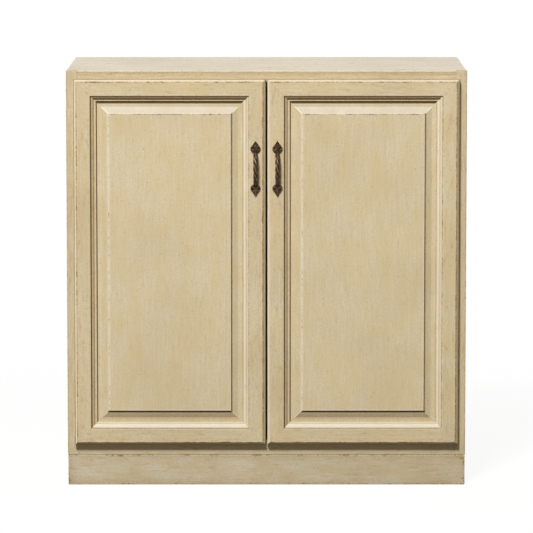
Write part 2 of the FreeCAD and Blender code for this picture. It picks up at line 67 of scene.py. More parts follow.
MM = 0.001
same_place = 1e-6  # places nearer than this count as one
on_plane = 1e-7  # vertices this near to a cut count as on it
level_slack = 0.05 * MM  # what lies within this of a level counts as on it
spare = 1 * MM  # how far a cutter stands out of what it cuts
square_angle = math.radians(60)  # edges steeper than this haven't been rounded yet
crease_angle = math.radians(24)  # edges steeper than this are shaded sharp
scene = bpy.context.scene

# Door frame section: insets run from a member's outer edge, depths from the door's face
edge_chamfer = 6 * MM
moulding_width = 14 * MM
quirk_depth = 1.8 * MM
ovolo_width = 7.5 * MM
ovolo_depth = 4.8 * MM
ovolo_bulge = 1.2 * MM
fillet_depth = 0.8 * MM
fillet_width = 2 * MM
bead_bulge = 1.1 * MM
lip_depth = 10.2 * MM
groove_width = 6.2 * MM
groove_depth = 10 * MM
hinge_edge_chamfer = 4 * MM
arris_ease = 0.7 * MM
mitre_line = 1.6 * MM  # how far glaze creeps from a mitre
mitre_glaze = 0.16

# Raised panel
panel_fit = 0.1 * MM  # left on each side of the tongue in its groove
panel_room = 2 * MM
panel_border = 10.5 * MM
panel_bevel_width = 16.5 * MM
panel_bevel_rise = 7.5 * MM
panel_shoulder = 1.8 * MM
shoulder_lean = 0.1 * MM
ARRIS_STEPS = ((0.13, 0.5), (0.37, 0.37), (0.5, 0.13))  # inset and rise, as shares of arris_ease
panel_mitre_ease = 0.9 * MM  # where two bevels of the panel meet
panel_mitre_pale = 1.0

# Hinge cups in the doors, and the shelf holes in the sides
cup_inset = 20.5 * MM
cup_bore_radius = 17.6 * MM
cup_bore_depth = 13.3 * MM
hinge_end_distance = 100 * MM
shelf_hole_radius = 2.6 * MM
shelf_hole_depth = 10.1 * MM
shelf_hole_spacing = 32 * MM
shelf_hole_rows = 7
shelf_pin_flat = 1.5 * MM

# Boards of the case
joint_ease = 0.5 * MM  # edges that meet another board
joint_glaze = 0.15
joint_glaze_reach = 1.4 * MM
top_rail_painted_shade = 0.3  # painted shade on the top rail, darkest under the edge of the top
top_rail_shade_reach = 16 * MM
plinth_top_painted_highlight = 1.2  # painted highlight along a narrow line at the plinth's top edge, which also lifts the shade in the joint above it
plinth_line_reach = 3 * MM

# How open edges of the case are rounded, how far they are worn, and what is rubbed off or left there
CASE_WEAR = {"ease": 2.4 * MM, "reach": 5 * MM, "pale": 1.0, "bare": 0.66, "glaze": 0.0}
STILE_WEAR = {"ease": 2.4 * MM, "reach": 5 * MM, "pale": 0.1, "bare": 0.9, "glaze": 0.22}
PLINTH_WEAR = {"ease": 1.2 * MM, "reach": 20 * MM, "pale": 0.0, "bare": 0.86, "glaze": 0.2}

# How far wear and glaze reach from a line of the doors' section
near_reach = 2.2 * MM
arris_reach = 3.3 * MM
far_reach = 5 * MM
lip_reach = 4.5 * MM
shoulder_reach = 4.6 * MM  # how far the painted shadow below the field's shoulder reaches down the panel's bevel

# Pulls, measured from the middle of the pull and from the door's face
pull_projection = 26 * MM
bar_radius = 5.4 * MM
bar_end_radius = 4.2 * MM
bar_span = 76 * MM
bar_root_depth = 2 * MM
bar_sides = 4
bar_turns = 1.3  # left-handed
bar_lobe_depth = 0.26  # share of the radius that the bar's hollows lose
collar_length = 13 * MM  # each end of the bar, along the bow
lobe_start = 0.45  # where the twist starts and where the bar is full, in collars from its end
taper_end = 1.6
leaf_half_width = 11.6 * MM
leaf_neck_half_width = 4.8 * MM
leaf_shoulder_half_width = 8.6 * MM
leaf_neck_height = 36 * MM
leaf_widest_height = 46 * MM
leaf_shoulder_height = 51.5 * MM
leaf_tip_height = 64 * MM
leaf_root_bulge = 2.2 * MM
leaf_shoulder_bulge = 0.7 * MM
leaf_edge_thickness = 2.4 * MM
leaf_thickness = 5 * MM
LEAF_EDGE_STEPS = ((0.6 * MM, 0.45), (0.9 * MM, 0.3), (1.4 * MM, 0.25))  # inset, and share of the rise
relief_start = 39 * MM  # the leaf's relief stays clear of the bar
spine_height = 1.1 * MM
spine_half_width = 3.4 * MM
dimple_offset = 6.2 * MM
dimple_height = 47 * MM
dimple_radius = 3 * MM
dimple_depth = 2.6 * MM
cast_voxel = 0.5 * MM
flat_back = 0.4 * MM  # the casting isn't softened this close to the door
soften_rounds = 3  # for the casting, and for where it is rubbed
leaf_rub = 0.35  # hands hold the bar and miss the leaves
rub_start = 0.012 * MM  # how far a spot stands out of its surroundings before hands rub it
rub_range = 0.03 * MM

# The doors' places come from the frame
stile_low, stile_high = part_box("left_door_hinge_stile")
door_left = stile_low.x
door_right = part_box("left_door_meeting_stile")[1].x
door_front = stile_low.y
door_bottom = stile_low.z
door_top = stile_high.z
door_thickness = stile_high.y - door_front
door_width = door_right - door_left
door_height = door_top - door_bottom
member_width = stile_high.x - stile_low.x
hinge_heights = (hinge_end_distance, door_height - hinge_end_distance)


# Materials

def linear(colour):
    """An sRGB hex colour as linear RGBA."""
    shares = [int(colour[start:start + 2], 16) / 255 for start in (1, 3, 5)]
    shares = [share / 12.92 if share <= 0.04045 else ((share + 0.055) / 1.055) ** 2.4 for share in shares]
    return shares + [1.0]


def add_node(tree, kind, inputs=None, output=0, **settings):
    """Adds a node and gives back one of its outputs. Inputs are values, or outputs of other nodes to link."""
    node = tree.nodes.new("ShaderNode" + kind)
    for name, value in settings.items():
        setattr(node, name, value)
    fill_inputs(tree, node, inputs or {})
    return node.outputs[output]


def fill_inputs(tree, node, inputs):
    for socket, value in inputs.items():
        if isinstance(value, bpy.types.NodeSocket):
            tree.links.new(value, node.inputs[socket])
        else:
            node.inputs[socket].default_value = value


def new_material(name):
    """A material, its node tree, its Principled shader, and the place on the object for its patterns."""
    material = bpy.data.materials.new(name)
    material.use_nodes = True
    tree = material.node_tree
    return material, tree, tree.nodes["Principled BSDF"], add_node(tree, "TexCoord", output="Object")


def per_length(grain, length, across):
    """Scales for a pattern that is stretched along the grain's axis, from its two sizes."""
    return [1 / (length if axis == grain else across) for axis in "xyz"]


def layered(tree, colour, *layers):
    """A colour under layers of tints. The share of each grows from nothing to most, as its pattern goes from
    start to full."""
    for pattern, start, full, most, tint in layers:
        share = add_node(tree, "MapRange", {0: pattern, 1: start, 2: full, 3: 0.0, 4: most})
        colour = add_node(tree, "Mix", {0: share, 6: colour, 7: linear(tint)}, 2, data_type="RGBA")
    return colour


def glazed_paint(name, grain, cream="#dbceb3", shade="#b5a37c", warm="#cbb785", streak=0.5, cloud=0.25,
                 scuff=0.5, matt=0.5, ridges=0.1):
    """Cream lacquer, brushed by hand, with an umber glaze wiped off it and the edges rubbed through.
    Fine streaks run along the board, hollows keep dark glaze and painted shade, pale marks show rubbed wear
    and painted highlight, a grey tint paints highlight, and the arrises show broken brown lines.
    Brush marks, tooth and specks are drawn some three millimetres wide, coarser than real, so that they show.
    Streak, cloud and scuff say how much the brush, the wiping and the rag left, matt how rough the paint is,
    and ridges how far the brush marks stand out."""
    material, tree, shader, place = new_material(name)
    # glaze holds umber and painted shade, the highlight tint is painted highlight, and pale is rubbed wear
    # and painted highlight
    pale, painted_highlight_tint, bare, glaze = (
        add_node(tree, "Attribute", output="Fac", attribute_name=wear)
        for wear in ("pale", "painted_highlight_tint", "bare", "glaze")
    )
    brushed = add_node(tree, "Mapping", {"Vector": place, "Scale": per_length(grain, 60 * MM, 3.2 * MM)})
    streaks = add_node(tree, "TexNoise", {"Vector": brushed, "Scale": 1, "Detail": 3, "Roughness": 0.6})
    wiped = add_node(tree, "Mapping", {"Vector": place, "Scale": per_length(grain, 55 * MM, 30 * MM)})
    mottling = add_node(tree, "TexNoise", {"Vector": wiped, "Scale": 1, "Detail": 2})
    dragged = add_node(tree, "Mapping", {"Vector": place, "Scale": per_length(grain, 22 * MM, 7 * MM)})
    smears = add_node(tree, "TexNoise", {"Vector": dragged, "Scale": 1, "Detail": 3, "Distortion": 0.6})
    clouds = add_node(tree, "TexNoise", {"Vector": place, "Scale": 1 / (150 * MM), "Detail": 1})
    tooth = add_node(tree, "TexNoise", {"Vector": place, "Scale": 1 / (3.4 * MM), "Detail": 1})
    stretches = add_node(tree, "TexNoise", {"Vector": place, "Scale": 1 / (20 * MM), "Detail": 2})
    flecks = add_node(
        tree, "TexNoise", {"Vector": place, "Scale": 1 / (4 * MM), "Detail": 3, "Roughness": 0.6}
    )

    # Specks of glaze, in some of the cells
    cells = add_node(tree, "TexVoronoi", {"Vector": place, "Scale": 1 / (10 * MM)}).node
    near = add_node(tree, "MapRange", {0: cells.outputs["Distance"], 1: 0.08, 2: 0.2, 3: 1.0, 4: 0.0})
    chance = add_node(tree, "SeparateColor", {0: cells.outputs["Color"]})
    picked = add_node(tree, "MapRange", {0: chance, 1: 0.7, 2: 0.95, 3: 0.0, 4: 0.45})
    specks = add_node(tree, "Math", {0: near, 1: picked}, operation="MULTIPLY")

    # A patchy grey tint paints the highlight on up-facing bevels and mouldings, edges are rubbed through here
    # and there, and glaze and painted shade lie unevenly
    patchy = add_node(tree, "MapRange", {0: stretches, 1: 0.3, 2: 0.7, 3: 0.5, 4: 1.15})
    patchy_highlight_tint = add_node(tree, "Math", {0: painted_highlight_tint, 1: patchy}, operation="MULTIPLY")
    chances = add_node(tree, "Math", {0: flecks, 1: stretches}, operation="ADD")
    through = add_node(tree, "Math", {0: chances, 1: bare}, operation="ADD")
    bare_start, bare_full = 1.92, 2.12
    glaze_and_painted_shade = add_node(tree, "Math", {0: flecks, 1: 0.5, 2: glaze}, operation="MULTIPLY_ADD")

    colour = layered(
        tree, linear(cream),
        (streaks, 0.25, 0.8, streak, shade),
        (tooth, 0.25, 0.75, 0.42, shade),
        (mottling, 0.35, 0.75, 0.55, warm),
        (clouds, 0.4, 0.7, cloud, shade),
        (smears, 0.56, 0.76, scuff, "#a5875a"),
        (specks, 0.0, 1.0, 1.0, "#8a6c42"),
        # painted highlight: a patchy neutral grey where the up-facing bevels and mouldings catch the light
        (patchy_highlight_tint, 0.0, 1.0, 1.0, "#bab3a4"),
        # pale: rubbed wear, and also painted highlight where the doors' surfaces face the light
        (pale, 0.0, 1.0, 0.75, "#efe8d6"),
        (through, 1.8, 1.98, 0.75, "#a0844f"),  # the rim of a bared spot
        (through, bare_start, bare_full, 0.85, "#6a4c22"),
        (glaze_and_painted_shade, 0.3, 0.85, 0.85, "#8c6d3a"),  # glaze, and painted shade in hollows, gaps and under the field's shoulder, is warm brown where thin
        (glaze_and_painted_shade, 0.7, 1.25, 0.95, "#443014"),  # and near black where it is heavy
    )
    # Bared spots lie lower than the brushed paint
    sunk = add_node(tree, "MapRange", {0: through, 1: bare_start, 2: bare_full, 3: 0.0, 4: -0.51})
    height = add_node(tree, "Math", {0: sunk, 1: streaks}, operation="ADD")
    relief = add_node(tree, "Bump", {"Strength": ridges, "Distance": 0.4 * MM, "Height": height})
    gloss = add_node(tree, "MapRange", {0: mottling, 1: 0.2, 2: 0.8, 3: matt, 4: matt + 0.1})
    fill_inputs(tree, shader, {"Base Color": colour, "Roughness": gloss, "Normal": relief})
    fill_inputs(tree, shader, {"IOR": 1.5, "Specular IOR Level": 0.35})
    return material


def sealed_birch(name, grain):
    """Clear-sealed birch veneer: pale, with fine straight pores along the board and slow broad figure.
    The pores are drawn over a millimetre wide so that they show."""
    material, tree, shader, place = new_material(name)
    fine = add_node(tree, "Mapping", {"Vector": place, "Scale": per_length(grain, 40 * MM, 1.6 * MM)})
    pores = add_node(tree, "TexNoise", {"Vector": fine, "Scale": 1, "Detail": 3, "Roughness": 0.6})
    broad = add_node(tree, "Mapping", {"Vector": place, "Scale": per_length(grain, 420 * MM, 24 * MM)})
    figure = add_node(tree, "TexNoise", {"Vector": broad, "Scale": 1, "Detail": 3})
    colour = layered(
        tree, linear("#cdae80"), (figure, 0.3, 0.7, 1.0, "#bd9866"), (pores, 0.5, 0.75, 0.45, "#9c7747")
    )
    relief = add_node(tree, "Bump", {"Strength": 0.1, "Distance": 0.2 * MM, "Height": pores})
    gloss = add_node(tree, "MapRange", {0: pores, 1: 0.3, 2: 0.7, 3: 0.42, 4: 0.55})
    fill_inputs(tree, shader, {"Base Color": colour, "Roughness": gloss, "Normal": relief})
    return material


def rubbed_bronze(name):
    """Oil-rubbed bronze, sand cast: near black in the hollows, and copper where hands have rubbed it, which
    also paints the highlights on the ridges.
    The sand's grit is drawn over a millimetre wide so that it shows."""
    material, tree, shader, place = new_material(name)
    rub = add_node(tree, "Attribute", output="Fac", attribute_name="rub")
    grit = add_node(
        tree, "TexNoise", {"Vector": place, "Scale": 1 / (1.4 * MM), "Detail": 3, "Roughness": 0.6}
    )
    patches = add_node(tree, "TexNoise", {"Vector": place, "Scale": 1 / (5 * MM), "Detail": 2})
    copper_wear_and_highlight = add_node(tree, "Math", {0: patches, 1: 0.6, 2: rub}, operation="MULTIPLY_ADD")
    colour = layered(
        tree, linear("#281b10"),
        (patches, 0.3, 0.7, 1.0, "#5e462d"),
        (rub, 0.0, -0.8, 0.9, "#0e0906"),  # the hollows
        # copper: rubbed wear, which also paints the highlights on the ridges
        (copper_wear_and_highlight, 0.6, 1.2, 1.0, "#c49a6c"),
    )
    relief = add_node(tree, "Bump", {"Strength": 0.3, "Distance": 0.3 * MM, "Height": grit})
    gloss = add_node(tree, "MapRange", {0: copper_wear_and_highlight, 1: 0.4, 2: 1.2, 3: 0.48, 4: 0.3})
    metal = add_node(tree, "MapRange", {0: copper_wear_and_highlight, 1: 0.4, 2: 1.1, 3: 0.75, 4: 1.0})
    fill_inputs(tree, shader, {"Base Color": colour, "Roughness": gloss, "Normal": relief, "Metallic": metal})
    return material


def plated_steel(name):
    """Nickel-plated steel, stamped and tumbled: bright, with a faint satin grain, drawn coarse to show."""
    material, tree, shader, place = new_material(name)
    satin = add_node(tree, "TexNoise", {"Vector": place, "Scale": 1 / (0.9 * MM), "Detail": 3})
    stains = add_node(tree, "TexNoise", {"Vector": place, "Scale": 1 / (9 * MM), "Detail": 2})
    colour = layered(tree, linear("#c4c0b8"), (stains, 0.3, 0.7, 1.0, "#aaa59b"))
    gloss = add_node(tree, "MapRange", {0: satin, 1: 0.3, 2: 0.7, 3: 0.26, 4: 0.4})
    fill_inputs(tree, shader, {"Base Color": colour, "Roughness": gloss, "Metallic": 1.0})
    return material


def moulded_plastic(name):
    """Moulded ABS with a spark-eroded skin: even tan, with a fine matt grain, drawn coarse to show."""
    material, tree, shader, place = new_material(name)
    skin = add_node(tree, "TexNoise", {"Vector": place, "Scale": 1 / (0.7 * MM), "Detail": 2})
    colour = layered(tree, linear("#c2b08d"), (skin, 0.3, 0.7, 0.3, "#a8936c"))
    relief = add_node(tree, "Bump", {"Strength": 0.2, "Distance": 0.1 * MM, "Height": skin})
    gloss = add_node(tree, "MapRange", {0: skin, 1: 0.3, 2: 0.7, 3: 0.48, 4: 0.6})
    fill_inputs(tree, shader, {"Base Color": colour, "Roughness": gloss, "Normal": relief})
    return material


def soft_polyurethane(name):
    """Cast polyurethane pad: milky, smooth, a little dusty."""
    material, tree, shader, place = new_material(name)
    dust = add_node(tree, "TexNoise", {"Vector": place, "Scale": 1 / (1.5 * MM), "Detail": 2})
    colour = layered(tree, linear("#cfccc2"), (dust, 0.3, 0.7, 1.0, "#bab6a9"))
    gloss = add_node(tree, "MapRange", {0: dust, 1: 0.3, 2: 0.7, 3: 0.3, 4: 0.45})
    fill_inputs(tree, shader, {"Base Color": colour, "Roughness": gloss})
    return material


cream_panel = glazed_paint("glazed_cream_paint_panel", "z", streak=0.42, scuff=0.2)
cream_upright = glazed_paint("glazed_cream_paint_upright", "z", streak=0.6, cloud=0.4)
cream_level = glazed_paint("glazed_cream_paint_level", "x", streak=0.7)
# The top has the same paint, waxed smooth, so that seen from low down it mirrors the pale room
cream_top = glazed_paint(
    "glazed_waxed_cream_paint_top", "x", streak=0.6, cloud=0.5, scuff=0.08, matt=0.25, ridges=0.025
)
# The face frame and the plinth are a little greyer than the doors
FRAME_COLOURS = ("#d2c9ae", "#ab9a76", "#c3b18a")
PLINTH_COLOURS = ("#d3cab3", "#a59673", "#b59d70")
frame_upright = glazed_paint("glazed_frame_paint_upright", "z", *FRAME_COLOURS, streak=0.9)
frame_level = glazed_paint("glazed_frame_paint_level", "x", *FRAME_COLOURS, streak=1.0)
plinth_level = glazed_paint("glazed_plinth_paint_level", "x", *PLINTH_COLOURS, streak=0.45, cloud=0.3)
plinth_deep = glazed_paint("glazed_plinth_paint_front_to_back", "y", *PLINTH_COLOURS, streak=0.45, cloud=0.3)
birch_upright = sealed_birch("sealed_birch_upright", "z")
birch_level = sealed_birch("sealed_birch_level", "x")
bronze = rubbed_bronze("oil_rubbed_cast_bronze")
steel = plated_steel("nickel_plated_steel")
catch_plastic = moulded_plastic("moulded_tan_abs")
pad = soft_polyurethane("cast_polyurethane_pad")


# Mesh helpers

def add_object(name, content):
    made = bpy.data.objects.new(name, content)
    scene.collection.objects.link(made)
    return made


def shape_object(name, shape):
    """Turns a shape into an object in the scene."""
    mesh = bpy.data.meshes.new(name)
    shape.to_mesh(mesh)
    shape.free()
    return add_object(name, mesh)


def add_piece(name, shape, body, materials, node):
    """Turns a shape into a piece that rides on a body, and stands for a node."""
    bmesh.ops.remove_doubles(shape, verts=shape.verts, dist=same_place)
    piece = shape_object(name, shape)
    for face in piece.data.polygons:
        face.use_smooth = True
    piece.data.set_sharp_from_angle(angle=crease_angle)
    for material in materials:
        piece.data.materials.append(material)
    flats = piece.modifiers.new("flat_faces", "WEIGHTED_NORMAL")
    flats.keep_sharp = True
    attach(piece, body)
    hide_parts(node)


def mark(shape, name, amount):
    """Keeps amount(place) on every vertex, as an attribute that the materials read."""
    layer = shape.verts.layers.float.new(name)
    for vert in shape.verts:
        vert[layer] = amount(vert.co)


def box_shape(low, high):
    shape = bmesh.new()
    bmesh.ops.create_cube(shape, size=1)
    bmesh.ops.scale(shape, vec=high - low, verts=shape.verts)
    bmesh.ops.translate(shape, vec=(low + high) / 2, verts=shape.verts)
    return shape


def rod_shape(radius, start, end):
    shape = bmesh.new()
    way = end - start
    turn = Vector((0, 0, 1)).rotation_difference(way).to_matrix().to_4x4()
    matrix = Matrix.Translation((start + end) / 2) @ turn
    bmesh.ops.create_cone(
        shape, cap_ends=True, segments=40, radius1=radius, radius2=radius, depth=way.length, matrix=matrix
    )
    return shape


def evaluated(owner):
    """The shape of a scratch object with its modifiers, which is then removed."""
    depsgraph = bpy.context.evaluated_depsgraph_get()
    mesh = bpy.data.meshes.new_from_object(owner.evaluated_get(depsgraph))
    shape = bmesh.new()
    shape.from_mesh(mesh)
    bpy.data.meshes.remove(mesh)
    bpy.data.meshes.remove(owner.data)
    return shape


def cut_away(shape, cutters):
    """The shape with the cutters' shapes taken out of it."""
    owner = shape_object("scratch", shape)
    tools = [shape_object("scratch", cutter) for cutter in cutters]
    for tool in tools:
        cut = owner.modifiers.new("cut", "BOOLEAN")
        cut.operation = "DIFFERENCE"
        cut.solver = "EXACT"
        cut.object = tool
    result = evaluated(owner)
    for tool in tools:
        bpy.data.meshes.remove(tool.data)
    return result


def everything(shape):
    return shape.verts[:] + shape.edges[:] + shape.faces[:]


def slice_at(shape, place, way, **settings):
    """Cuts a loop of edges round a shape, on the plane through a place."""
    bmesh.ops.bisect_plane(
        shape, geom=everything(shape), dist=on_plane, plane_co=place, plane_no=way, **settings
    )


def trim_at(shape, place, way):
    """Takes off what lies beyond the plane through a place, and closes the cut."""
    slice_at(shape, place, way, clear_outer=True)
    bmesh.ops.holes_fill(shape, edges=shape.edges)


def round_edges(shape, edges, offset, segments):
    bmesh.ops.bevel(
        shape, geom=edges, offset=offset, segments=segments, profile=0.5, affect="EDGES", material=-1
    )


# Boards of the case

WAYS = {
    "left": Vector((-1, 0, 0)),
    "right": Vector((1, 0, 0)),
    "front": Vector((0, -1, 0)),
    "back": Vector((0, 1, 0)),
    "down": Vector((0, 0, -1)),
    "up": Vector((0, 0, 1)),
}


def facing(normal):
    return max(WAYS, key=lambda name: WAYS[name].dot(normal))


def distances(place, low, high):
    """How far a place lies inside each side of a box."""
    return {
        "left": place.x - low.x,
        "right": high.x - place.x,
        "front": place.y - low.y,
        "back": high.y - place.y,
        "down": place.z - low.z,
        "up": high.z - place.z,
    }


def board(low, high, open_sides, wear=CASE_WEAR):
    """A board whose open edges are rounded, and whose other edges are barely eased where boards meet."""
    shape = box_shape(low, high)
    open_edges = [
        edge for edge in shape.edges if all(facing(face.normal) in open_sides for face in edge.link_faces)
    ]
    if open_edges:
        round_edges(shape, open_edges, wear["ease"], segments=4)
    joint_edges = [edge for edge in shape.edges if edge.calc_face_angle() > square_angle]
    round_edges(shape, joint_edges, joint_ease, segments=1)
    for side, way in WAYS.items():
        if side in open_sides:
            reach = wear["ease"] / 3 + wear["reach"]
        else:
            reach = joint_ease + joint_glaze_reach
        corner = high if sum(way) > 0 else low
        slice_at(shape, corner - way * reach, way)
    return shape


def mark_board(shape, low, high, open_sides, wear=CASE_WEAR):
    """Pale and bare wear along the open edges, and glaze in the lines where boards meet."""
    def worn(place):
        sides, far = nearest_edge(place, low, high)
        if not sides.issubset(open_sides):
            return 0.0
        return max(0.0, 1 - max(0.0, far - wear["ease"] / 3) / wear["reach"])

    def glazed(place):
        sides, far = nearest_edge(place, low, high)
        if sides.issubset(open_sides):
            return 0.0
        return joint_glaze * max(0.0, 1 - max(0.0, far - joint_ease) / joint_glaze_reach)

    mark(shape, "pale", lambda place: wear["pale"] * worn(place))
    mark(shape, "bare", lambda place: wear["bare"] * worn(place))
    mark(shape, "glaze", lambda place: max(glazed(place), wear["glaze"] * worn(place)))


def nearest_edge(place, low, high):
    """The two nearest sides of a box, and how far inside the second of them a place lies."""
    insides = distances(place, low, high)
    first, second = sorted(insides, key=insides.get)[:2]
    return {first, second}, insides[second]


def plain_board(name, node, open_sides, material, wear=CASE_WEAR):
    low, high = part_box(node)
    shape = board(low, high, open_sides, wear)
    mark_board(shape, low, high, open_sides, wear)
    add_piece(name, shape, "case", [material], node)


def add_face_frame():
    for side in ("left", "right"):
        node = "frame_" + side + "_stile"
        plain_board("face_" + node, node, (side, "front", "up"), frame_upright, STILE_WEAR)
    for node, open_sides in (("frame_top_rail", ("front", "up")), ("frame_bottom_rail", ("front",))):
        low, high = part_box(node)
        low.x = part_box("frame_left_stile")[1].x  # without the tenons
        high.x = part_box("frame_right_stile")[0].x
        shape = board(low, high, open_sides)
        glaze_end = Vector((0, 0, high.z - top_rail_shade_reach))
        slice_at(shape, glaze_end, WAYS["up"])
        mark_board(shape, low, high, open_sides)
        if "up" in open_sides:
            # painted shade on the top rail, darker towards the edge of the top, kept in the glaze layer
            layer = shape.verts.layers.float["glaze"]
            for vert in shape.verts:
                if vert.co.z < high.z - CASE_WEAR["ease"] / 2:
                    share = max(0.0, vert.co.z - glaze_end.z) / top_rail_shade_reach
                    vert[layer] = max(vert[layer], top_rail_painted_shade * share)
        add_piece("face_" + node, shape, "case", [frame_level], node)


def add_top():
    low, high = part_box("top_panel")
    back_low, back_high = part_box("back_panel")
    open_sides = ("left", "right", "back", "up")
    rabbet_low = Vector((back_low.x - panel_fit, back_low.y, low.z - joint_ease))
    rabbet_high = Vector((back_high.x + panel_fit, high.y + joint_ease, back_high.z + panel_fit))
    shape = cut_away(board(low, high, open_sides), [box_shape(rabbet_low, rabbet_high)])
    mark_board(shape, low, high, open_sides)
    add_piece("top_board", shape, "case", [cream_top], "top_panel")


def shelf_holes(x, way):
    """Rows of holes for the shelf pins, in the side whose inner face is at x."""
    pins_low, pins_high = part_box("shelf_pins")
    collar = (pins_high.z - pins_low.z) - shelf_pin_flat
    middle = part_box("shelf")[0].z - shelf_pin_flat
    for y in (pins_low.y + collar, pins_high.y - collar):
        for row in range(shelf_hole_rows):
            z = middle + (row - shelf_hole_rows // 2) * shelf_hole_spacing
            mouth = Vector((x + way * spare, y, z))
            yield rod_shape(shelf_hole_radius, mouth, Vector((x - way * shelf_hole_depth, y, z)))


def add_side(side, way):
    """A side board, painted outside and sealed birch inside. Way points from it to the middle."""
    node = side + "_side_panel"
    low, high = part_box(node)
    back_low, back_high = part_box("back_panel")
    inner = high.x if way > 0 else low.x
    rabbet_outer = back_low.x - panel_fit if way > 0 else back_high.x + panel_fit
    reach = sorted((rabbet_outer, inner + way * spare))
    rabbet_low = Vector((reach[0], back_low.y, low.z - spare))
    rabbet_high = Vector((reach[1], high.y + spare, high.z + spare))
    cutters = [box_shape(rabbet_low, rabbet_high), *shelf_holes(inner, way)]
    open_sides = (side, "back")
    shape = cut_away(board(low, high, open_sides), cutters)
    mark_board(shape, low, high, open_sides)
    painted_depth = high.x - low.x - shelf_hole_depth - spare  # further in is birch, the holes too
    for face in shape.faces:
        middle = face.calc_center_median()
        inside = distances(middle, low, high)[side] > painted_depth and middle.y < back_low.y
        face.material_index = 1 if inside else 0
    add_piece(side + "_side_board", shape, "case", [cream_panel, birch_upright], node)


def add_plinth():
    low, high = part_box("plinth_front")
    open_sides = ("left", "right", "front", "down", "up")
    shape = board(low, high, open_sides, PLINTH_WEAR)
    line_end = Vector((0, 0, high.z - plinth_line_reach))
    slice_at(shape, line_end, WAYS["up"])
    mark_board(shape, low, high, open_sides, PLINTH_WEAR)
    # painted highlight along the plinth's top edge
    layer = shape.verts.layers.float["pale"]
    for vert in shape.verts:
        vert[layer] = plinth_top_painted_highlight * max(0.0, vert.co.z - line_end.z) / plinth_line_reach
    add_piece("plinth_front_board", shape, "case", [plinth_level], "plinth_front")
    for side in ("left", "right"):
        node = "plinth_" + side
        plain_board(node + "_board", node, (side,), plinth_deep)
    low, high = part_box("plinth_back")
    open_sides = ("left", "right", "back")
    shape = board(low, high, open_sides)
    mark_board(shape, low, high, open_sides)
    for face in shape.faces:
        face.material_index = 1 if facing(face.normal) in ("left", "right") else 0
    add_piece("plinth_back_board", shape, "case", [birch_level, plinth_deep], "plinth_back")


# Doors

def bowed(start, end, bulge, count):
    """Points along a shallow curve from start to end, which stands bulge in front of its chord."""
    chord = end - start
    square = Vector((chord.y, -chord.x)).normalized()
    shares = [step / count for step in range(count + 1)]
    return [start + chord * share + square * (4 * bulge * share * (1 - share)) for share in shares]


face_end = member_width - moulding_width
chamfer_back = Vector((0, edge_chamfer))
chamfer_front = Vector((edge_chamfer, 0))
quirk_top = Vector((face_end, 0))
quirk_bottom = Vector((face_end, quirk_depth))
ovolo_end = quirk_bottom + Vector((ovolo_width, ovolo_depth))
fillet_start = ovolo_end + Vector((0, fillet_depth))
fillet_end = fillet_start + Vector((fillet_width, 0))
lip = Vector((member_width, lip_depth))
back_outer = Vector((0, door_thickness))
panel_face = lip_depth + panel_fit
bevel_foot = Vector((member_width + panel_border, panel_face))
bevel_top = bevel_foot + Vector((panel_bevel_width, -panel_bevel_rise))
field_arris = bevel_top - Vector((0, panel_shoulder))

chamfer_middle = (chamfer_back + chamfer_front) / 2
ovolo_start = quirk_bottom.lerp(ovolo_end, 0.2)
ovolo_middle = (quirk_bottom + ovolo_end) / 2
bead_middle = (fillet_end + lip) / 2
bevel_middle = (bevel_foot + bevel_top) / 2


